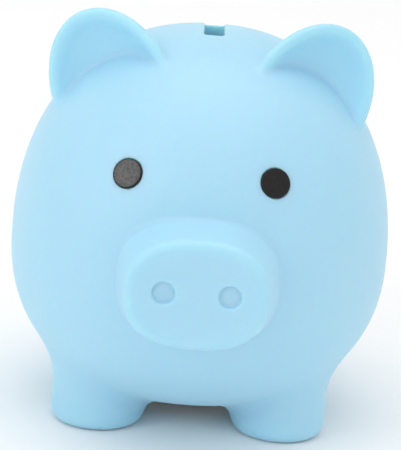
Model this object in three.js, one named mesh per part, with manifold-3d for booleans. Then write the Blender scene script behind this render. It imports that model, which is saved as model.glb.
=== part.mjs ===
// Piggy bank: one hollow soft-vinyl shell, two eye buttons and a twist-lock belly stopper.
// Millimetres, +Z up, floor at z = 0. The pig faces -Y, so its own left is +X.
import * as THREE from 'three';
import { mergeVertices } from 'three/addons/utils/BufferGeometryUtils.js';
import Module from 'manifold-3d';

const wasm = await Module();
wasm.setup();

// ---- driving dimensions -------------------------------------------------------------------
const GAP = 0.3;                 // clearance between pieces that touch
const WALL = 3;                  // shell wall
const ROUNDNESS = 2.218;         // exponent of the body's superellipsoid, 2 would be an ellipsoid

const BODY = { halfWidth: 56, front: 60, back: 62, above: 64.7, below: 46.5, centreZ: 50.7 };
const LEG = { x: 26.8, y: 20.3, soleRadius: 13.9, topRadius: 13.1, edge: 3.1, top: 40, sole: 3.5 };
const SNOUT = { faceY: -70, centreZ: 54.4, halfWidth: 18.8, halfHeight: 14.6, taper: 0.25,
  squareness: 2.45, edge: 1.6, depth: 30 };
const NOSTRIL = { x: 8.8, z: 54.9, radius: 2.9, depth: 1.2 };
const EAR = { x: 27.5, y: -23.5, z: 98.6, halfWidth: 18.5, thickness: 10, halfHeight: 24.3,
  tilt: 32.3, turn: 17.1, lean: -5.7, front: 1.5, rim: 2.6, dishDepth: 8.5,
  dishRound: 12 };
const TAIL = { z: 71, tube: 2.4, startY: 57, endY: 67.6, coil: 4.2, tighten: 0.15, turns: 1.3 };
const SLOT = { width: 5.8, front: -11.5, back: 20, corner: 1.4, neckWall: 2.2, neckBottom: 105.5,
  neckInset: 1 };
const EYE = { radius: 4.1, proud: 0.3, dome: 0.1, sunk: 1, peg: 1.7, bead: 2.4, beadDepth: 4.1,
  beadLength: 1.2 };
const LEFT_EYE = { x: 19, z: 82.05 };
const RIGHT_EYE = { x: -20.7, z: 81.8 };

// stopper: heights are of the fitted, unlocked stopper
const SEAT = { z: 5.8, padRadius: 19.5, padBottom: 6.5, padTop: 9.2 };
const COLLAR = { bottom: 4, flangeRadius: 17.5, barrelRadius: 14.3, boreRadius: 12.8, top: 11.6,
  beadRadius: 15.2, beadTop: 10, ledgeRadius: 11, ledgeBottom: 7.2, ledgeTop: 9 };
const CAP = { flangeTop: 5.6, barrelRadius: 10.7, top: 11.4, pocketRadius: 8.6, pocketTop: 9.4,
  barWidth: 3.5, barRecess: 0.6 };
const LUG = { halfAngle: 20, notchHalfAngle: 24, turn: 90, height: 2, count: 2 };
const STOP = { clearAngle: 1.5, spanAngle: 8, innerRadius: 11.6 };

// how finely round shapes are faceted
const FACETS = { skin: 46, cavity: 26, legOutside: 24, legInside: 14, legEdge: 3, snout: 36,
  snoutEdge: 3, ear: 24, eye: 24, eyeDome: 6, ring: 40, lug: 10,
  slotCorner: 4, tailSection: 4, tailSteps: 22 };
const ROWS_PER_FACET = 0.64;     // rows of a round shape for each facet around it

// ---- materials ----------------------------------------------------------------------------
const vinylBlue = new THREE.MeshStandardMaterial({ color: '#b0e1f8', roughness: 0.62, metalness: 0 });
const eyeBlack = new THREE.MeshStandardMaterial({ color: '#2b2a2e', roughness: 0.4, metalness: 0 });
const stopperWhite = new THREE.MeshStandardMaterial({ color: '#eef3f5', roughness: 0.45, metalness: 0 });
const sealGrey = new THREE.MeshStandardMaterial({ color: '#c9d2d6', roughness: 0.8, metalness: 0 });

// ---- solids -------------------------------------------------------------------------------
function solid(geometry) {
  const bare = geometry.index ? geometry.toNonIndexed() : geometry.clone();
  bare.deleteAttribute('normal');
  bare.deleteAttribute('uv');
  const merged = mergeVertices(bare, 1e-4);
  const mesh = new wasm.Mesh({
    numProp: 3,
    vertProperties: new Float32Array(merged.attributes.position.array),
    triVerts: new Uint32Array(merged.index.array),
  });
  mesh.merge();
  return new wasm.Manifold(mesh);
}

function geometryOf(manifold) {
  const mesh = manifold.getMesh();
  const geometry = new THREE.BufferGeometry();
  geometry.setAttribute('position', new THREE.BufferAttribute(mesh.vertProperties, 3));
  geometry.setIndex(new THREE.BufferAttribute(mesh.triVerts, 1));
  geometry.computeVertexNormals();
  return geometry;
}

function namedMesh(name, manifold, material) {
  const mesh = new THREE.Mesh(geometryOf(manifold), material);
  mesh.name = name;
  return mesh;
}

// moves every vertex by a formula
function reshape(geometry, formula) {
  const position = geometry.attributes.position;
  const point = new THREE.Vector3();
  for (let i = 0; i < position.count; i += 1) {
    point.fromBufferAttribute(position, i);
    formula(point);
    position.setXYZ(i, point.x, point.y, point.z);
  }
  return geometry;
}

const points = (list) => list.map(([radius, height]) => new THREE.Vector2(radius, height));

// turns a profile of [radius, height] about the Z axis; a ring's profile closes on itself
function turned(profile, segments) {
  return new THREE.LatheGeometry(points(profile), segments).rotateX(Math.PI / 2);
}

function ring(profile, segments) {
  return turned([...profile, profile[0]], segments);
}

function disc(radius, bottom, top, segments = FACETS.ring) {
  const cylinder = new THREE.CylinderGeometry(radius, radius, top - bottom, segments);
  return cylinder.rotateX(Math.PI / 2).translate(0, 0, (top + bottom) / 2);
}

// points of a profile's rounded edge, between two angles in degrees
function arc(centreRadius, centreHeight, radius, from, to, steps) {
  const list = [];
  for (let i = 0; i <= steps; i += 1) {
    const angle = THREE.MathUtils.degToRad(from + ((to - from) * i) / steps);
    list.push([centreRadius + radius * Math.cos(angle), centreHeight + radius * Math.sin(angle)]);
  }
  return list;
}

// a block between two radii, two heights and two angles in degrees about Z
function arcBlock(inner, outer, bottom, top, from, to) {
  const start = THREE.MathUtils.degToRad(from);
  const end = THREE.MathUtils.degToRad(to);
  const shape = new THREE.Shape();
  shape.absarc(0, 0, outer, start, end, false);
  shape.absarc(0, 0, inner, end, start, true);
  shape.closePath();
  const options = { depth: top - bottom, bevelEnabled: false, curveSegments: FACETS.lug };
  return new THREE.ExtrudeGeometry(shape, options).translate(0, 0, bottom);
}

// ---- body ---------------------------------------------------------------------------------
// an egg with its own half size in front, behind, above and below its centre
function egg(inset, facets) {
  const sphere = new THREE.SphereGeometry(1, facets, Math.round(facets * ROWS_PER_FACET));
  sphere.rotateX(Math.PI / 2);
  return reshape(sphere, (p) => {
    const powers = p.toArray().map((value) => Math.abs(value) ** ROUNDNESS);
    p.divideScalar((powers[0] + powers[1] + powers[2]) ** (1 / ROUNDNESS));
    p.x *= BODY.halfWidth - inset;
    p.y *= (p.y < 0 ? BODY.front : BODY.back) - inset;
    p.z *= (p.z < 0 ? BODY.below : BODY.above) - inset;
    p.z += BODY.centreZ;
  });
}

function leg(inset, bottom, facets) {
  const sole = LEG.soleRadius - inset;
  const edge = arc(sole - LEG.edge, bottom + LEG.edge, LEG.edge, -90, 0, FACETS.legEdge);
  return turned([[0, bottom], ...edge, [LEG.topRadius - inset, LEG.top], [0, LEG.top]], facets);
}

function eachLeg(inset, bottom, facets) {
  const legs = [];
  for (const side of [-1, 1]) {
    for (const end of [-1, 1]) {
      legs.push(solid(leg(inset, bottom, facets).translate(side * LEG.x, end * LEG.y, 0)));
    }
  }
  return legs;
}

// a rounded plug with a superellipse section that widens towards the head
function snout(inset) {
  const radius = SNOUT.halfWidth - inset;
  const edge = arc(radius - SNOUT.edge, SNOUT.edge, SNOUT.edge, -90, 0, FACETS.snoutEdge);
  const profile = [[0, 0], ...edge, [radius + SNOUT.taper * SNOUT.depth, SNOUT.depth], [0, SNOUT.depth]];
  const plug = reshape(turned(profile, FACETS.snout), (p) => {
    const reach = Math.hypot(p.x, p.y);
    if (reach > 0) {
      const across = Math.abs(p.x / reach) ** SNOUT.squareness;
      const up = Math.abs(p.y / reach) ** SNOUT.squareness;
      const stretch = (across + up) ** (-1 / SNOUT.squareness);
      const spread = SNOUT.taper * p.z;
      p.x *= stretch;
      p.y *= stretch * (SNOUT.halfHeight - inset + spread) / (radius + spread);
    }
  });
  return plug.rotateX(-Math.PI / 2).translate(0, SNOUT.faceY + inset, SNOUT.centreZ);
}

// an ellipsoid cut flat a little ahead of its widest section, with a dish that leaves a rim
function ear(side) {
  const pose = new THREE.Matrix4().makeRotationFromEuler(new THREE.Euler(
    THREE.MathUtils.degToRad(EAR.lean),
    THREE.MathUtils.degToRad(EAR.tilt * side),
    THREE.MathUtils.degToRad(EAR.turn * side),
    'ZYX',
  ));
  pose.setPosition(EAR.x * side, EAR.y, EAR.z);
  const round = new THREE.SphereGeometry(1, FACETS.ear, Math.round(FACETS.ear * ROWS_PER_FACET));
  round.rotateX(Math.PI / 2);
  const lobe = round.clone().scale(EAR.halfWidth, EAR.thickness, EAR.halfHeight);
  const front = new THREE.BoxGeometry(3 * EAR.halfWidth, 2 * EAR.thickness, 3 * EAR.halfHeight);
  front.translate(0, -EAR.front - EAR.thickness, 0);
  const dishSet = EAR.dishRound - EAR.dishDepth;
  const mouthShare = Math.sqrt(1 - (dishSet / EAR.dishRound) ** 2);
  const dishWidth = (EAR.halfWidth - EAR.rim) / mouthShare;
  const dishHeight = (EAR.halfHeight - EAR.rim) / mouthShare;
  const dish = round.scale(dishWidth, EAR.dishRound, dishHeight).translate(0, -EAR.front - dishSet, 0);
  return solid(lobe.applyMatrix4(pose))
    .subtract(solid(front.applyMatrix4(pose)))
    .subtract(solid(dish.applyMatrix4(pose)));
}

class TailCurl extends THREE.Curve {
  getPoint(t, target = new THREE.Vector3()) {
    const angle = 2 * Math.PI * TAIL.turns * t;
    const coil = TAIL.coil * (1 - TAIL.tighten * t);
    const y = THREE.MathUtils.lerp(TAIL.startY, TAIL.endY, t);
    return target.set(coil * Math.sin(angle), y, TAIL.z - coil * Math.cos(angle));
  }
}

function tail() {
  const section = new THREE.Shape().absarc(0, 0, TAIL.tube, 0, 2 * Math.PI, false);
  const options = {
    steps: FACETS.tailSteps,
    curveSegments: FACETS.tailSection,
    bevelEnabled: false,
    extrudePath: new TailCurl(),
  };
  return new THREE.ExtrudeGeometry(section, options);
}

function nostril(side) {
  const dimple = new THREE.CylinderGeometry(NOSTRIL.radius, NOSTRIL.radius, 2 * NOSTRIL.depth, 28);
  return dimple.translate(side * NOSTRIL.x, SNOUT.faceY, NOSTRIL.z);
}

// ---- eyes ---------------------------------------------------------------------------------
// where an eye sits on the body, with its local +Z along the surface's outward normal
function eyePose(eye) {
  const across = Math.abs(eye.x) / BODY.halfWidth;
  const up = (eye.z - BODY.centreZ) / BODY.above;
  const ahead = (1 - across ** ROUNDNESS - up ** ROUNDNESS) ** (1 / ROUNDNESS);
  const slope = ROUNDNESS - 1;
  const normal = new THREE.Vector3(
    (Math.sign(eye.x) * across ** slope) / BODY.halfWidth,
    -(ahead ** slope) / BODY.front,
    up ** slope / BODY.above,
  ).normalize();
  const turn = new THREE.Quaternion().setFromUnitVectors(new THREE.Vector3(0, 0, 1), normal);
  const place = new THREE.Vector3(eye.x, -ahead * BODY.front, eye.z);
  return new THREE.Matrix4().compose(place, turn, new THREE.Vector3(1, 1, 1));
}

// an almost flat button on a peg that snaps through the wall
function eyeButton() {
  const under = GAP - EYE.sunk;
  const beadTop = -EYE.beadDepth;
  const dome = [];
  for (let i = 0; i < FACETS.eyeDome; i += 1) {
    const angle = (Math.PI / 2) * (i / FACETS.eyeDome);
    dome.push([EYE.radius * Math.cos(angle), EYE.proud + EYE.dome * Math.sin(angle)]);
  }
  return turned([
    [0, beadTop - EYE.beadLength],
    [EYE.peg, beadTop - EYE.beadLength],
    [EYE.bead, beadTop - GAP],
    [EYE.bead, beadTop],
    [EYE.peg, beadTop],
    [EYE.peg, under],
    [EYE.radius, under],
    ...dome,
    [0, EYE.proud + EYE.dome],
  ], FACETS.eye);
}

function eyeSocket(eye) {
  const recess = disc(EYE.radius + GAP, -EYE.sunk, 3 * EYE.sunk, FACETS.eye);
  const hole = disc(EYE.peg + GAP, -3 * WALL, WALL, FACETS.eye);
  const pose = eyePose(eye);
  return solid(recess.applyMatrix4(pose)).add(solid(hole.applyMatrix4(pose)));
}

// the slot's outline along Y, grown by a margin, as an upright block that ends above the crown
function slotBlock(margin, bottom) {
  const radius = SLOT.corner + margin;
  const side = SLOT.width / 2 - SLOT.corner;
  const back = SLOT.back - SLOT.corner;
  const front = SLOT.front + SLOT.corner;
  const shape = new THREE.Shape();
  shape.absarc(side, back, radius, 0, Math.PI / 2, false);
  shape.absarc(-side, back, radius, Math.PI / 2, Math.PI, false);
  shape.absarc(-side, front, radius, Math.PI, 1.5 * Math.PI, false);
  shape.absarc(side, front, radius, 1.5 * Math.PI, 2 * Math.PI, false);
  shape.closePath();
  const depth = BODY.centreZ + BODY.above + WALL - bottom;
  const options = { depth, bevelEnabled: false, curveSegments: FACETS.slotCorner };
  return new THREE.ExtrudeGeometry(shape, options).translate(0, 0, bottom);
}

// walls that guide a coin below the slot, kept just under the outside of the crown
function slotNeck() {
  const crown = solid(egg(SLOT.neckInset, FACETS.cavity));
  return solid(slotBlock(SLOT.neckWall, SLOT.neckBottom)).intersect(crown);
}

// ---- shell --------------------------------------------------------------------------------
function bodyShell() {
  const outside = [...eachLeg(0, 0, FACETS.legOutside), solid(snout(0)), ear(-1), ear(1), solid(tail())];
  const inside = [...eachLeg(WALL, LEG.sole, FACETS.legInside), solid(snout(WALL))];
  let skin = solid(egg(0, FACETS.skin));
  for (const piece of outside) skin = skin.add(piece);
  let cavity = solid(egg(WALL, FACETS.cavity));
  for (const piece of inside) cavity = cavity.add(piece);
  const pad = disc(SEAT.padRadius, SEAT.padBottom, SEAT.padTop);
  let shell = skin.subtract(cavity).add(solid(pad)).add(slotNeck());
  const slot = slotBlock(0, SLOT.neckBottom - WALL);
  const seat = disc(COLLAR.flangeRadius + GAP, -SEAT.z, SEAT.z);
  const hole = disc(COLLAR.barrelRadius + GAP, -SEAT.z, 2 * SEAT.padTop);
  for (const cut of [slot, seat, hole, nostril(-1), nostril(1)]) shell = shell.subtract(solid(cut));
  return shell.subtract(eyeSocket(LEFT_EYE)).subtract(eyeSocket(RIGHT_EYE));
}

// ---- stopper ------------------------------------------------------------------------------
function aroundAxis(block) {
  const step = (2 * Math.PI) / LUG.count;
  const copies = [];
  for (let i = 0; i < LUG.count; i += 1) copies.push(solid(block.clone().rotateZ(i * step)));
  return copies;
}

// ring clipped into the belly hole, with a ledge that the cap's lugs pass and then hook over
function stopperCollar() {
  const flangeTop = SEAT.z - GAP;
  const beadBottom = SEAT.padTop + GAP;
  let collar = solid(ring([
    [COLLAR.boreRadius, COLLAR.bottom],
    [COLLAR.flangeRadius - GAP, COLLAR.bottom],
    [COLLAR.flangeRadius, COLLAR.bottom + GAP],
    [COLLAR.flangeRadius, flangeTop],
    [COLLAR.barrelRadius, flangeTop],
    [COLLAR.barrelRadius, beadBottom],
    [COLLAR.beadRadius, beadBottom],
    [COLLAR.beadRadius, COLLAR.beadTop],
    [COLLAR.barrelRadius, COLLAR.top],
    [COLLAR.boreRadius, COLLAR.top],
    [COLLAR.boreRadius, COLLAR.ledgeTop],
    [COLLAR.ledgeRadius, COLLAR.ledgeTop],
    [COLLAR.ledgeRadius, COLLAR.ledgeBottom],
    [COLLAR.boreRadius, COLLAR.ledgeBottom],
  ], FACETS.ring));
  const notch = arcBlock(COLLAR.ledgeRadius - 1, COLLAR.boreRadius, COLLAR.ledgeBottom - 1,
    COLLAR.ledgeTop + 1, -LUG.notchHalfAngle, LUG.notchHalfAngle);
  for (const cut of aroundAxis(notch)) collar = collar.subtract(cut);
  const nearEnd = -LUG.halfAngle - STOP.clearAngle;
  const farEnd = LUG.turn + LUG.halfAngle + STOP.clearAngle;
  for (const start of [nearEnd - STOP.spanAngle, farEnd]) {
    const stop = arcBlock(STOP.innerRadius, COLLAR.barrelRadius - GAP, COLLAR.ledgeTop - GAP,
      COLLAR.top, start, start + STOP.spanAngle);
    for (const block of aroundAxis(stop)) collar = collar.add(block);
  }
  return collar;
}

// soft washer held on the cap between its flange and its lugs
function stopperSeal() {
  const bottom = CAP.flangeTop + GAP;
  const top = COLLAR.ledgeBottom - GAP;
  const inner = CAP.barrelRadius + GAP;
  const outer = COLLAR.boreRadius - GAP;
  return solid(ring([[inner, bottom], [outer, bottom], [outer, top], [inner, top]], FACETS.ring));
}

// cup with a finger bar across its pocket and two lugs near its closed end
function stopperCap() {
  const flange = COLLAR.boreRadius - GAP;
  const cup = solid(turned([
    [0, COLLAR.bottom],
    [flange - GAP, COLLAR.bottom],
    [flange, COLLAR.bottom + GAP],
    [flange, CAP.flangeTop],
    [CAP.barrelRadius, CAP.flangeTop],
    [CAP.barrelRadius, CAP.top],
    [0, CAP.top],
  ], FACETS.ring));
  const pocket = solid(disc(CAP.pocketRadius, 0, CAP.pocketTop));
  const barBottom = COLLAR.bottom + CAP.barRecess;
  const barHeight = CAP.pocketTop + GAP - barBottom;
  const bar = new THREE.BoxGeometry(CAP.barWidth, 2 * CAP.pocketRadius + GAP, barHeight);
  bar.translate(0, 0, barBottom + barHeight / 2);
  let cap = cup.subtract(pocket).add(solid(bar));
  const lugBottom = COLLAR.ledgeTop + GAP;
  const lug = arcBlock(CAP.barrelRadius - GAP, flange, lugBottom, lugBottom + LUG.height,
    -LUG.halfAngle, LUG.halfAngle);
  for (const block of aroundAxis(lug)) cap = cap.add(block);
  return cap;
}

// ---- assembly -----------------------------------------------------------------------------
function eyeMesh(name, eye) {
  const mesh = namedMesh(name, solid(eyeButton()), eyeBlack);
  mesh.applyMatrix4(eyePose(eye));
  return mesh;
}

const stopper = new THREE.Group();
stopper.add(namedMesh('stopper_collar', stopperCollar(), stopperWhite));
stopper.add(namedMesh('stopper_seal', stopperSeal(), sealGrey));
stopper.add(namedMesh('stopper_cap', stopperCap(), stopperWhite));

const piggyBank = new THREE.Group();
piggyBank.add(namedMesh('body_shell', bodyShell(), vinylBlue));
piggyBank.add(eyeMesh('left_eye', LEFT_EYE));
piggyBank.add(eyeMesh('right_eye', RIGHT_EYE));
piggyBank.add(stopper);

export default piggyBank;
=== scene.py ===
"""The looks of a piggy bank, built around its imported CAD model.

Every piece is meshed from a distance field: a formula that gives how far a point is from the piece's
surface, below zero inside. Fields work in millimetres, in the same frame as the CAD model, on arrays of
points with one row each. Objects are in metres.
"""

import math

import bmesh
import bpy
import numpy as np
import openvdb
from mathutils import Matrix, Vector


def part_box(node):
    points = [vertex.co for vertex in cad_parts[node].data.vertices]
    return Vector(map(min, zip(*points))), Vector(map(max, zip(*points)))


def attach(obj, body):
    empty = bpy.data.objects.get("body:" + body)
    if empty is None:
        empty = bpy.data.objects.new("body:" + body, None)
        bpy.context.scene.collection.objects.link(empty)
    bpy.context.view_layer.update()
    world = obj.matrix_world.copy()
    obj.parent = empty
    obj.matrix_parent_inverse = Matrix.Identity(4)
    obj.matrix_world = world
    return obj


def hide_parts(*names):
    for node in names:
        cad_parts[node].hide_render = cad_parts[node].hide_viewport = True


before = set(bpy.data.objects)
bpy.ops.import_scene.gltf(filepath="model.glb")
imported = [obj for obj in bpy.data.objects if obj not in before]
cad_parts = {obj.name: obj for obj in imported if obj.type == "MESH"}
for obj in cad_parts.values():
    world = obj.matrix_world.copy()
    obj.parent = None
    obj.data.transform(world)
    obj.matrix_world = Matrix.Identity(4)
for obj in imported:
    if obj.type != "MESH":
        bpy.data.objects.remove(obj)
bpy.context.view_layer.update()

MM = 0.001
GAP = 0.3
WALL = 3.0
ROUNDNESS = 2.218

# body: half sizes and centre height
HALF_WIDTH, FRONT, BACK, ABOVE, BELOW, CENTRE_Z = 56.0, 60.0, 62.0, 64.7, 46.5, 50.7
# legs
LEG_X, LEG_Y, SOLE_RADIUS, LEG_TOP_RADIUS, LEG_EDGE, LEG_TOP = 26.8, 20.3, 13.9, 13.1, 3.1, 40.0
LEG_BLEND, SOLE_THICKNESS = 6.2, 3.5
# snout
SNOUT_FACE, SNOUT_Z, SNOUT_HALF_WIDTH, SNOUT_HALF_HEIGHT = -70.0, 54.4, 18.8, 14.6
SNOUT_TAPER, SNOUT_SQUARENESS, SNOUT_EDGE, SNOUT_DEPTH, SNOUT_BLEND = 0.25, 2.45, 2.0, 30.0, 1.2
NOSTRIL_X, NOSTRIL_Z, NOSTRIL_RADIUS, NOSTRIL_DEPTH, NOSTRIL_LIP = 8.8, 54.9, 2.9, 1.2, 1.0
NOSTRIL_FLOOR_EDGE = 0.4
# ears
EAR_PLACE = (27.5, -23.5, 98.6)
EAR_HALF_SIZES = (18.5, 10.0, 24.3)
EAR_TILT, EAR_TURN, EAR_LEAN = 32.3, 17.1, -5.7
EAR_FRONT, EAR_RIM, EAR_DISH_DEPTH, EAR_DISH_ROUND = 1.5, 2.6, 8.5, 12.0
EAR_RIM_BLEND, EAR_BLEND = 2.6, 1.6
# tail
TAIL_Z, TAIL_START, TAIL_END, TAIL_COIL, TAIL_TIGHTEN, TAIL_TURNS = 71.0, 57.0, 67.6, 4.2, 0.15, 1.3
TAIL_ROOT_RADIUS, TAIL_TIP_RADIUS, TAIL_BLEND = 2.5, 1.9, 2.5
TAIL_POINTS, TAIL_BALL = 70, 8.0
# coin slot
SLOT_WIDTH, SLOT_FRONT, SLOT_BACK, SLOT_CORNER, SLOT_EDGE = 5.8, -11.5, 20.0, 1.4, 0.7
NECK_WALL, NECK_BOTTOM, NECK_INSET, NECK_BLEND = 2.2, 105.5, 1.0, 1.0
# eyes
EYES = {"left_eye": (19.0, 82.05), "right_eye": (-20.7, 81.8)}
EYE_RADIUS, EYE_PROUD, EYE_DOME, EYE_SUNK, EYE_PEG, EYE_RING = 4.1, 0.3, 0.1, 1.0, 1.7, 0.08
EYE_BEAD, EYE_BEAD_DEPTH, EYE_BEAD_LENGTH = 2.4, 4.1, 1.2
EYE_RIM_ROUND, EYE_BEAD_BLEND = 0.3, 0.4
# stopper
SEAT_Z, PAD_RADIUS, PAD_BOTTOM, PAD_TOP, PAD_BLEND = 5.8, 19.5, 6.5, 9.2, 1.0
STOPPER_BOTTOM, FLANGE_RADIUS, BARREL_RADIUS, BORE_RADIUS, COLLAR_TOP = 4.0, 17.5, 14.3, 12.8, 11.6
COLLAR_BEAD, COLLAR_BEAD_TOP = 15.2, 10.0
LEDGE_RADIUS, LEDGE_BOTTOM, LEDGE_TOP = 11.0, 7.2, 9.0
CAP_FLANGE_TOP, CAP_RADIUS, CAP_TOP, POCKET_RADIUS, POCKET_TOP = 5.6, 10.7, 11.4, 8.6, 9.4
CAP_EDGE, POCKET_EDGE, SEAL_EDGE = 0.5, 1.0, 0.45
BAR_WIDTH, BAR_RECESS, BAR_EDGE, BAR_BLEND = 3.5, 0.6, 0.8, 0.6
LUG_HALF_ANGLE, NOTCH_HALF_ANGLE, LUG_TURN, LUG_HEIGHT = 20.0, 24.0, 90.0, 2.0
STOP_CLEAR, STOP_SPAN, STOP_RADIUS = 1.5, 8.0, 11.6
# every other edge's radius, and how far a solid reaches into the next one
EDGE, LAP = 0.3, 1.0
# mesh spacing
SHELL_STEP, EYE_STEP, STOPPER_STEP = 1.5, 0.2, 0.35
# how near an edge has to be for the shell's mesh to be split there: once, and then again
RIM_DEPTH, RIM_HALF_HEIGHT, SLOT_NEAR, EYE_NEAR, EAR_NEAR, ROOT_NEAR = 4.0, 20.0, 1.6, 1.6, 0.8, 2.0
FINE_RIM_DEPTH, FINE_RIM, FINE_NOSTRIL, FINE_SLOT, FINE_EYE, LIP_DEPTH = 2.0, 0.6, 1.2, 1.0, 0.9, 2.0
FLAT_HALF_WIDTH, FLAT_HALF_HEIGHT = 14.0, 9.0
# studio, in metres
FLOOR_HALF, LAMP_DISTANCE, WORLD_STRENGTH = 6.0, 3.0, 0.85


# ---- fields: joining, and simple solids ---------------------------------------------------
def smooth_min(a, b, reach):
    """Joins two fields with a fillet."""
    share = np.clip(0.5 + 0.5 * (b - a) / reach, 0, 1)
    return b + (a - b) * share - reach * share * (1 - share)


def smooth_max(a, b, reach):
    """Keeps what is in both fields, with a rounded edge."""
    return -smooth_min(-a, -b, reach)


def cut(field, tool, reach=EDGE):
    return smooth_max(field, -tool, reach)


def rounded(across, along, radius):
    """Two one-way distances as one rounded corner."""
    a = across + radius
    b = along + radius
    outside = np.hypot(np.maximum(a, 0), np.maximum(b, 0))
    return np.minimum(np.maximum(a, b), 0) + outside - radius


def span(value, low, high):
    return np.maximum(low - value, value - high)


def disc(points, radius, low, high, edge=EDGE):
    reach = np.hypot(points[:, 0], points[:, 1])
    return rounded(reach - radius, span(points[:, 2], low, high), edge)


def band(points, inner, outer, low, high, edge=EDGE):
    reach = np.hypot(points[:, 0], points[:, 1])
    return rounded(span(reach, inner, outer), span(points[:, 2], low, high), edge)


def sector(points, middle, half):
    """Two opposite wedges about Z, given by their middle and half angle in degrees."""
    angle = np.degrees(np.arctan2(points[:, 1], points[:, 0])) - middle
    off = np.abs((angle + 90) % 180 - 90) - half
    return np.hypot(points[:, 0], points[:, 1]) * np.radians(off)


def ellipsoid(points, half_sizes):
    scaled = points / half_sizes
    size = np.linalg.norm(scaled, axis=1)
    slope = np.linalg.norm(scaled / half_sizes, axis=1) + 1e-9
    return size * (size - 1) / slope


# ---- fields: the moulded shell ------------------------------------------------------------
def egg(points, inset=0.0):
    z = points[:, 2] - CENTRE_Z
    half = np.stack([
        np.full(len(points), HALF_WIDTH - inset),
        np.where(points[:, 1] < 0, FRONT, BACK) - inset,
        np.where(z > 0, ABOVE, BELOW) - inset,
    ], axis=1)
    scaled = np.abs(np.column_stack([points[:, :2], z])) / half + 1e-9
    size = (scaled ** ROUNDNESS).sum(axis=1) ** (1 / ROUNDNESS)
    slope = np.linalg.norm(scaled ** (ROUNDNESS - 1) / half, axis=1) / size ** (ROUNDNESS - 1)
    return (size - 1) / slope


def legs(points, inset=0.0, bottom=0.0):
    reach = np.hypot(np.abs(points[:, 0]) - LEG_X, np.abs(points[:, 1]) - LEG_Y)
    z = points[:, 2]
    radius = SOLE_RADIUS + (LEG_TOP_RADIUS - SOLE_RADIUS) * z / LEG_TOP - inset
    return rounded(reach - radius, span(z, bottom, LEG_TOP), LEG_EDGE)


def snout(points, inset=0.0):
    behind = points[:, 1] - SNOUT_FACE - inset
    spread = SNOUT_TAPER * np.clip(behind, 0, SNOUT_DEPTH) - inset
    half_x = SNOUT_HALF_WIDTH + spread
    half_z = SNOUT_HALF_HEIGHT + spread
    x = np.abs(points[:, 0]) / half_x + 1e-9
    z = np.abs(points[:, 2] - SNOUT_Z) / half_z + 1e-9
    n = SNOUT_SQUARENESS
    size = (x ** n + z ** n) ** (1 / n)
    slope = np.hypot(x ** (n - 1) / half_x, z ** (n - 1) / half_z) / size ** (n - 1)
    return rounded((size - 1) / slope, span(behind, 0, SNOUT_DEPTH), SNOUT_EDGE)


def nostrils(points):
    reach = np.hypot(np.abs(points[:, 0]) - NOSTRIL_X, points[:, 2] - NOSTRIL_Z)
    ahead = points[:, 1] - SNOUT_FACE - NOSTRIL_DEPTH
    return rounded(reach - NOSTRIL_RADIUS, ahead, NOSTRIL_FLOOR_EDGE)


def ear_axes():
    lean = Matrix.Rotation(math.radians(EAR_LEAN), 3, "X")
    tilt = Matrix.Rotation(math.radians(EAR_TILT), 3, "Y")
    turn = Matrix.Rotation(math.radians(EAR_TURN), 3, "Z")
    return np.array(turn @ tilt @ lean)


def ears(points):
    """Both ears: ellipsoids cut flat ahead of their widest section, with a dish that leaves a rim."""
    mirrored = np.column_stack([np.abs(points[:, 0]), points[:, 1], points[:, 2]])
    local = (mirrored - EAR_PLACE) @ ear_axes()
    half = np.array(EAR_HALF_SIZES)
    lobe = smooth_max(ellipsoid(local, half), -EAR_FRONT - local[:, 1], EAR_RIM_BLEND)
    dish_set = EAR_DISH_ROUND - EAR_DISH_DEPTH
    mouth_share = math.sqrt(1 - (dish_set / EAR_DISH_ROUND) ** 2)
    width = (half[0] - EAR_RIM) / mouth_share
    height = (half[2] - EAR_RIM) / mouth_share
    from_dish = local + (0, EAR_FRONT + dish_set, 0)
    dish = ellipsoid(from_dish, np.array((width, EAR_DISH_ROUND, height)))
    return cut(lobe, dish, EAR_RIM_BLEND)


def tail(points):
    """A coil of balls, with a rough distance for points far from the ball that holds it all."""
    share = np.linspace(0, 1, TAIL_POINTS)
    angle = 2 * math.pi * TAIL_TURNS * share
    coil = TAIL_COIL * (1 - TAIL_TIGHTEN * share)
    y = TAIL_START + (TAIL_END - TAIL_START) * share
    middle = np.column_stack([coil * np.sin(angle), y, TAIL_Z - coil * np.cos(angle)])
    radius = TAIL_ROOT_RADIUS + (TAIL_TIP_RADIUS - TAIL_ROOT_RADIUS) * share
    centre = middle.mean(axis=0)
    distance = np.linalg.norm(points - centre, axis=1) - TAIL_BALL
    close = distance < TAIL_BALL
    away = points[close][:, None, :] - middle[None, :, :]
    distance[close] = (np.linalg.norm(away, axis=2) - radius).min(axis=1)
    return distance


def coin_slot(points):
    across = np.abs(points[:, 0]) - SLOT_WIDTH / 2
    along = span(points[:, 1], SLOT_FRONT, SLOT_BACK)
    return np.maximum(rounded(across, along, SLOT_CORNER), CENTRE_Z + ABOVE / 2 - points[:, 2])


def slot_neck(points):
    across = np.abs(points[:, 0]) - SLOT_WIDTH / 2 - NECK_WALL
    along = span(points[:, 1], SLOT_FRONT - NECK_WALL, SLOT_BACK + NECK_WALL)
    walls = np.maximum(rounded(across, along, SLOT_CORNER + NECK_WALL), NECK_BOTTOM - points[:, 2])
    return np.maximum(walls, egg(points, NECK_INSET))


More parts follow.
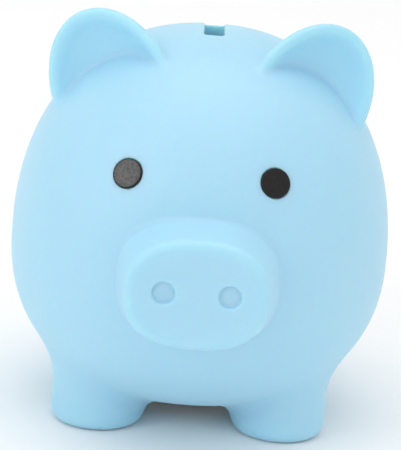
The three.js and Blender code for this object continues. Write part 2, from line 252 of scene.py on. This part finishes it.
def eye_pose(node):
    """Where an eye sits on the body, and its axes as columns, the last one outward."""
    x, z = EYES[node]
    side = math.copysign(1, x)
    across = abs(x) / HALF_WIDTH
    up = (z - CENTRE_Z) / ABOVE
    ahead = (1 - across ** ROUNDNESS - up ** ROUNDNESS) ** (1 / ROUNDNESS)
    power = ROUNDNESS - 1
    out = np.array([side * across ** power / HALF_WIDTH, -ahead ** power / FRONT, up ** power / ABOVE])
    out /= np.linalg.norm(out)
    right = np.cross((0, 0, 1), out)
    right /= np.linalg.norm(right)
    place = np.array([x, -ahead * FRONT, z])
    return place, np.column_stack([right, np.cross(out, right), out])


def in_eye_frame(points, node):
    place, axes = eye_pose(node)
    return (points - place) @ axes


def eye_sockets(points):
    both = []
    for node in EYES:
        local = in_eye_frame(points, node)
        recess = disc(local, EYE_RADIUS + EYE_RING, -EYE_SUNK, 3 * EYE_SUNK)
        hole = disc(local, EYE_PEG + GAP, -3 * WALL, WALL)
        both.append(np.minimum(recess, hole))
    return np.minimum(both[0], both[1])


def shell(points):
    outside = smooth_min(egg(points), legs(points), LEG_BLEND)
    outside = smooth_min(outside, snout(points), SNOUT_BLEND)
    outside = cut(outside, nostrils(points), NOSTRIL_LIP)
    outside = smooth_min(outside, ears(points), EAR_BLEND)
    outside = smooth_min(outside, tail(points), TAIL_BLEND)
    inside = smooth_min(egg(points, WALL), legs(points, WALL, SOLE_THICKNESS), LEG_BLEND)
    inside = smooth_min(inside, snout(points, WALL), SNOUT_BLEND)
    skin = np.maximum(outside, -inside)
    skin = smooth_min(skin, disc(points, PAD_RADIUS, PAD_BOTTOM, PAD_TOP), PAD_BLEND)
    skin = smooth_min(skin, slot_neck(points), NECK_BLEND)
    skin = cut(skin, coin_slot(points), SLOT_EDGE)
    skin = cut(skin, disc(points, FLANGE_RADIUS + GAP, -SEAT_Z, SEAT_Z))
    skin = cut(skin, disc(points, BARREL_RADIUS + GAP, -SEAT_Z, 2 * PAD_TOP))
    return cut(skin, eye_sockets(points))


# ---- fields: eyes and stopper -------------------------------------------------------------
def eye_button(points):
    """In the eye's own frame: an almost flat button on a peg with a snap bead."""
    dome_radius = (EYE_RADIUS ** 2 + EYE_DOME ** 2) / (2 * EYE_DOME)
    top = EYE_PROUD + EYE_DOME
    dome = np.linalg.norm(points - (0, 0, top - dome_radius), axis=1) - dome_radius
    head = smooth_max(disc(points, EYE_RADIUS, GAP - EYE_SUNK, top), dome, EYE_RIM_ROUND)
    end = -EYE_BEAD_DEPTH - EYE_BEAD_LENGTH
    peg = disc(points, EYE_PEG, end, 0)
    bead = disc(points, EYE_BEAD, end + GAP, -EYE_BEAD_DEPTH)
    return np.minimum(head, smooth_min(peg, bead, EYE_BEAD_BLEND))


def collar(points):
    flange = band(points, BORE_RADIUS, FLANGE_RADIUS, STOPPER_BOTTOM, SEAT_Z - GAP)
    barrel = band(points, BORE_RADIUS, BARREL_RADIUS, STOPPER_BOTTOM, COLLAR_TOP)
    bead = band(points, BORE_RADIUS + LAP, COLLAR_BEAD, PAD_TOP + GAP, COLLAR_BEAD_TOP)
    ledge = band(points, LEDGE_RADIUS, BARREL_RADIUS, LEDGE_BOTTOM, LEDGE_TOP)
    notch = np.maximum(band(points, 0, BORE_RADIUS, LEDGE_BOTTOM - LAP, LEDGE_TOP + LAP),
                       sector(points, 0, NOTCH_HALF_ANGLE))
    ledge = cut(ledge, notch)
    ring = np.minimum(np.minimum(flange, barrel), np.minimum(bead, ledge))
    near_middle = -LUG_HALF_ANGLE - STOP_CLEAR - STOP_SPAN / 2
    far_middle = LUG_TURN + LUG_HALF_ANGLE + STOP_CLEAR + STOP_SPAN / 2
    rib = band(points, STOP_RADIUS, BARREL_RADIUS - GAP, LEDGE_TOP - GAP, COLLAR_TOP)
    for middle in (near_middle, far_middle):
        ring = np.minimum(ring, smooth_max(rib, sector(points, middle, STOP_SPAN / 2), EDGE))
    return ring


def seal(points):
    low, high = CAP_FLANGE_TOP + GAP, LEDGE_BOTTOM - GAP
    return band(points, CAP_RADIUS + GAP, BORE_RADIUS - GAP, low, high, SEAL_EDGE)


def cap(points):
    flange_radius = BORE_RADIUS - GAP
    flange = disc(points, flange_radius, STOPPER_BOTTOM, CAP_FLANGE_TOP)
    barrel = disc(points, CAP_RADIUS, STOPPER_BOTTOM, CAP_TOP, CAP_EDGE)
    cup = np.minimum(flange, barrel)
    cup = cut(cup, disc(points, POCKET_RADIUS, 0, POCKET_TOP, POCKET_EDGE), CAP_EDGE)
    x = np.abs(points[:, 0]) - BAR_WIDTH / 2
    height = span(points[:, 2], STOPPER_BOTTOM + BAR_RECESS, POCKET_TOP + LAP)
    pocket = disc(points, POCKET_RADIUS + LAP / 2, 0, POCKET_TOP + LAP)
    bar = np.maximum(rounded(x, height, BAR_EDGE), pocket)
    cup = smooth_min(cup, bar, BAR_BLEND)
    low = LEDGE_TOP + GAP
    lug = band(points, CAP_RADIUS - LAP, flange_radius, low, low + LUG_HEIGHT)
    return np.minimum(cup, smooth_max(lug, sector(points, 0, LUG_HALF_ANGLE), EDGE))


# ---- meshing ------------------------------------------------------------------------------
def gradient(field, points, reach=0.02):
    """Direction in which the field grows, as unit rows."""
    rows = []
    for axis in range(3):
        step = np.zeros(3)
        step[axis] = reach
        rows.append(field(points + step) - field(points - step))
    slope = np.column_stack(rows) / (2 * reach)
    return slope / (np.linalg.norm(slope, axis=1, keepdims=True) + 1e-9)


def onto_surface(field, points, rounds=4, longest=0.6, share=0.9):
    """Moves points along the field's slope until they lie on its surface."""
    for _ in range(rounds):
        move = np.clip(field(points), -longest, longest)
        points = points - gradient(field, points) * (share * move)[:, None]
    return points


def sample(field, low, high, step):
    """The field on a grid of points, one layer at a time."""
    counts = np.ceil((np.array(high) - low) / step).astype(int) + 1
    y = low[1] + step * np.arange(counts[1])
    z = low[2] + step * np.arange(counts[2])
    grid_y, grid_z = np.meshgrid(y, z, indexing="ij")
    values = np.empty(counts, dtype=np.float32)
    for i in range(counts[0]):
        x = np.full(grid_y.size, low[0] + step * i)
        layer = field(np.column_stack([x, grid_y.ravel(), grid_z.ravel()]))
        values[i] = layer.reshape(grid_y.shape)
    return values


def new_piece(name, field, low, high, step, place=None, details=()):
    """Meshes a field between two corners, and puts every vertex on the surface.

    Each test in details picks the faces to split in one more round.
    """
    low = np.array(low, dtype=float)
    grid = openvdb.FloatGrid(5.0 * step)
    grid.copyFromArray(sample(field, low, high, step))
    points, quads = grid.convertToQuads(isovalue=0.0)
    mesh = bpy.data.meshes.new(name)
    mesh.from_pydata((low + points * step).tolist(), [], quads.tolist())
    for wanted in details:
        split_near(mesh, wanted)
        set_points(mesh, onto_surface(field, get_points(mesh)))
    points = onto_surface(field, get_points(mesh))
    normals = gradient(field, points)
    if place:
        origin, axes = place
        points = points @ axes.T + origin
        normals = normals @ axes.T
    set_points(mesh, points * MM)
    face_outward(mesh, normals)
    mesh.shade_smooth()
    mesh.normals_split_custom_set_from_vertices(normals.tolist())
    piece = bpy.data.objects.new(name, mesh)
    bpy.context.scene.collection.objects.link(piece)
    return piece


def get_points(mesh):
    flat = np.empty(3 * len(mesh.vertices))
    mesh.vertices.foreach_get("co", flat)
    return flat.reshape(-1, 3)


def set_points(mesh, points):
    mesh.vertices.foreach_set("co", np.ascontiguousarray(points, dtype=np.float32).ravel())
    mesh.update()


def split_near(mesh, wanted):
    """Halves the edges of the faces whose middle the test picks."""
    built = bmesh.new()
    built.from_mesh(mesh)
    middles = np.array([face.calc_center_median() for face in built.faces])
    picked = wanted(middles)
    edges = {edge for face, yes in zip(built.faces, picked) if yes for edge in face.edges}
    bmesh.ops.subdivide_edges(built, edges=list(edges), cuts=1, use_grid_fill=True)
    built.to_mesh(mesh)
    built.free()


def face_outward(mesh, normals):
    """Turns all faces over if they point against the field's slope."""
    face = mesh.polygons[0]
    if np.dot(face.normal, normals[face.vertices[0]]) < 0:
        mesh.flip_normals()


# ---- materials ----------------------------------------------------------------------------
def linear(red, green, blue):
    """Screen colour, 0 to 255, as the shader's linear values."""
    values = [channel / 255 for channel in (red, green, blue)]
    return tuple(v / 12.92 if v <= 0.04045 else ((v + 0.055) / 1.055) ** 2.4 for v in values) + (1.0,)


class Surface:
    """A Principled material with helpers for its colour, roughness and bump."""

    def __init__(self, name):
        self.material = bpy.data.materials.new(name)
        self.material.use_nodes = True
        self.nodes = self.material.node_tree.nodes
        self.links = self.material.node_tree.links
        self.shader = self.nodes["Principled BSDF"]
        self.place = self.nodes.new("ShaderNodeTexCoord").outputs["Object"]
        self.height = None

    def set(self, **values):
        for socket, value in values.items():
            self.shader.inputs[socket.replace("_", " ")].default_value = value

    def noise(self, size_mm, detail=2.0):
        node = self.nodes.new("ShaderNodeTexNoise")
        node.inputs["Scale"].default_value = 1 / (size_mm * MM)
        node.inputs["Detail"].default_value = detail
        self.links.new(self.place, node.inputs["Vector"])
        return node.outputs["Fac"]

    def ramp(self, value, low, high, start=0.3, end=0.7):
        node = self.nodes.new("ShaderNodeMapRange")
        for socket, number in (("From Min", start), ("From Max", end), ("To Min", low), ("To Max", high)):
            node.inputs[socket].default_value = number
        self.links.new(value, node.inputs["Value"])
        return node.outputs["Result"]

    def colour(self, value, first, second):
        node = self.nodes.new("ShaderNodeMix")
        node.data_type = "RGBA"
        node.inputs["A"].default_value = first
        node.inputs["B"].default_value = second
        self.links.new(self.ramp(value, 0, 1), node.inputs["Factor"])
        self.links.new(node.outputs["Result"], self.shader.inputs["Base Color"])

    def roughness(self, value, low, high):
        self.links.new(self.ramp(value, low, high), self.shader.inputs["Roughness"])

    def bump(self, value, depth_mm):
        node = self.nodes.new("ShaderNodeBump")
        node.inputs["Distance"].default_value = depth_mm * MM
        self.links.new(value, node.inputs["Height"])
        if self.height:
            self.links.new(self.height, node.inputs["Normal"])
        self.height = node.outputs["Normal"]
        self.links.new(self.height, self.shader.inputs["Normal"])


def vinyl_blue():
    """Matte soft vinyl: fine moulded grain over a very slight waviness, a little light inside."""
    surface = Surface("vinyl_blue")
    surface.set(Subsurface_Weight=0.6, Subsurface_Scale=0.004, IOR=1.63, Specular_IOR_Level=1.0,
                Sheen_Weight=0.12, Sheen_Roughness=0.5)
    surface.shader.inputs["Subsurface Radius"].default_value = (0.5, 1.4, 0.8)
    surface.colour(surface.noise(26), linear(160, 215, 239), linear(164, 217, 240))
    surface.roughness(surface.noise(1.6), 0.50, 0.56)
    surface.bump(surface.noise(9), 0.03)
    surface.bump(surface.noise(0.35), 0.012)
    return surface.material


def eye_black():
    """Satin black plastic with a visible fine grain."""
    surface = Surface("eye_black")
    surface.set(IOR=1.5, Specular_IOR_Level=0.32)
    surface.colour(surface.noise(0.7), linear(16, 15, 17), linear(28, 25, 26))
    surface.roughness(surface.noise(0.6), 0.18, 0.27)
    surface.bump(surface.noise(0.6, 4), 0.03)
    return surface.material


def stopper_white():
    """Rigid white plastic with a fine satin texture."""
    surface = Surface("stopper_white")
    surface.set(Subsurface_Weight=0.1, Subsurface_Scale=0.001, IOR=1.49)
    surface.colour(surface.noise(12), linear(232, 238, 240), linear(240, 244, 245))
    surface.roughness(surface.noise(1.0), 0.36, 0.46)
    surface.bump(surface.noise(0.25), 0.01)
    return surface.material


def seal_grey():
    """Soft matte rubber, slightly dusty."""
    surface = Surface("seal_grey")
    surface.set(IOR=1.45, Sheen_Weight=0.2)
    surface.colour(surface.noise(3), linear(188, 198, 203), linear(205, 213, 217))
    surface.roughness(surface.noise(0.8), 0.70, 0.82)
    surface.bump(surface.noise(0.3), 0.02)
    return surface.material


# ---- pieces -------------------------------------------------------------------------------
def near_detail(points):
    """Where the shell has small edges: its snout's rim and root, slot, eye sockets, ears and seat."""
    rim = (points[:, 1] < SNOUT_FACE + RIM_DEPTH) & (np.abs(points[:, 2] - SNOUT_Z) < RIM_HALF_HEIGHT)
    slot = np.abs(coin_slot(points)) < SLOT_NEAR
    eyes = np.abs(eye_sockets(points)) < EYE_NEAR
    ear = (np.abs(ears(points)) < EAR_NEAR) & (egg(points) > -LAP)
    seat = (np.hypot(points[:, 0], points[:, 1]) < PAD_RADIUS) & (points[:, 2] < PAD_TOP + LAP)
    return rim | slot | eyes | ear | seat | near_snout_root(points)


def near_snout_root(points):
    both = np.maximum(np.abs(egg(points)), np.abs(snout(points)))
    return (both < ROOT_NEAR) & (points[:, 1] < 0)


def near_fine_detail(points):
    """Small edges, which get a second split."""
    rim = (points[:, 1] < SNOUT_FACE + FINE_RIM_DEPTH) & (np.abs(snout(points)) < FINE_RIM)
    nostril = np.abs(nostrils(points)) < FINE_NOSTRIL
    return (rim & ~on_snout_flat(points)) | nostril | near_finest_detail(points)


def near_finest_detail(points):
    """The slot's lip and the eye sockets' rims, which get a third split."""
    slot = np.abs(coin_slot(points)) < FINE_SLOT
    eyes = np.abs(eye_sockets(points)) < FINE_EYE
    return (slot | eyes) & (egg(points) > -LIP_DEPTH)


def on_snout_flat(points):
    x = np.abs(points[:, 0])
    z = np.abs(points[:, 2] - SNOUT_Z)
    return (x < FLAT_HALF_WIDTH) & (z < FLAT_HALF_HEIGHT)


def finish_piece(piece, material, body, node):
    piece.data.materials.append(material)
    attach(piece, body)
    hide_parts(node)


def corners(node, margin=1.5):
    """A CAD node's box in millimetres, with a margin."""
    low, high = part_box(node)
    return np.array(low) / MM - margin, np.array(high) / MM + margin


def make_shell():
    low, high = corners("body_shell", margin=3.0)
    piece = new_piece("pig_shell", shell, low, high, SHELL_STEP,
                      details=(near_detail, near_fine_detail, near_finest_detail))
    finish_piece(piece, vinyl_blue(), "bank", "body_shell")


def make_eyes():
    material = eye_black()
    reach = EYE_RADIUS + 1
    bottom = -EYE_BEAD_DEPTH - EYE_BEAD_LENGTH - 1
    top = 2.5
    for node in EYES:
        piece = new_piece(f"{node}_button", eye_button, (-reach, -reach, bottom), (reach, reach, top),
                          EYE_STEP, place=eye_pose(node))
        finish_piece(piece, material, "bank", node)


def make_stopper():
    white = stopper_white()
    for node, field, body, material, slot in (
        ("stopper_collar", collar, "bank", white, "stopper_white"),
        ("stopper_cap", cap, "cap", white, "stopper_white"),
        ("stopper_seal", seal, "seal", seal_grey(), "seal_grey"),
    ):
        low, high = corners(node)
        piece = new_piece(f"{node}_piece", field, low, high, STOPPER_STEP)
        finish_piece(piece, material, body, node)


# ---- studio -------------------------------------------------------------------------------
def make_floor():
    mesh = bpy.data.meshes.new("studio_floor")
    half = FLOOR_HALF
    corner_points = [(-half, -half, 0), (half, -half, 0), (half, half, 0), (-half, half, 0)]
    mesh.from_pydata(corner_points, [], [(0, 1, 2, 3)])
    floor = bpy.data.objects.new("studio_floor", mesh)
    bpy.context.scene.collection.objects.link(floor)
    surface = Surface("studio_white")
    surface.set(Roughness=0.9)
    surface.colour(surface.noise(400), (0.93, 0.93, 0.93, 1), (0.94, 0.94, 0.94, 1))
    mesh.materials.append(surface.material)


def add_area_light(name, direction, size, power):
    light = bpy.data.lights.new(name, "AREA")
    light.shape = "DISK"
    light.size = size
    light.energy = power
    lamp = bpy.data.objects.new(name, light)
    towards = np.array(direction) / np.linalg.norm(direction)
    lamp.location = towards * LAMP_DISTANCE + (0, 0, CENTRE_Z * MM)
    lamp.rotation_euler = Matrix(np.column_stack(axes_towards(towards)).tolist()).to_euler()
    bpy.context.scene.collection.objects.link(lamp)


def axes_towards(towards):
    """Axes of a lamp or camera that looks back along a direction: right, up and towards."""
    right = np.cross((0, 0, 1), towards)
    right /= np.linalg.norm(right)
    return right, np.cross(towards, right), towards


def make_lights():
    world = bpy.data.worlds.new("studio")
    world.use_nodes = True
    background = world.node_tree.nodes["Background"]
    background.inputs["Color"].default_value = (1, 1, 1, 1)
    background.inputs["Strength"].default_value = WORLD_STRENGTH
    bpy.context.scene.world = world
    add_area_light("key", direction=(-0.65, -0.58, 0.49), size=0.7, power=9.9)
    add_area_light("overhead", direction=(0, -0.05, 1), size=3.0, power=24.0)


def make_camera():
    turn, elevation, roll = math.radians(-0.29), math.radians(15), math.radians(4.1)
    distance, target_height = 0.5, 0.0553
    towards = np.array([math.sin(turn) * math.cos(elevation), -math.cos(turn) * math.cos(elevation),
                        math.sin(elevation)])
    right, up, back = axes_towards(towards)
    rolled_right = right * math.cos(roll) + up * math.sin(roll)
    rolled_up = up * math.cos(roll) - right * math.sin(roll)
    lens = bpy.data.cameras.new("camera")
    lens.sensor_width = 36
    lens.lens = 132.9
    lens.clip_start = 0.01
    camera = bpy.data.objects.new("camera", lens)
    camera.rotation_euler = Matrix(np.column_stack([rolled_right, rolled_up, back]).tolist()).to_euler()
    camera.location = towards * distance + (0, 0, target_height)
    bpy.context.scene.collection.objects.link(camera)
    bpy.context.scene.camera = camera


bpy.context.scene.view_settings.view_transform = "Standard"
make_camera()
make_lights()
make_floor()
make_shell()
make_eyes()
make_stopper()
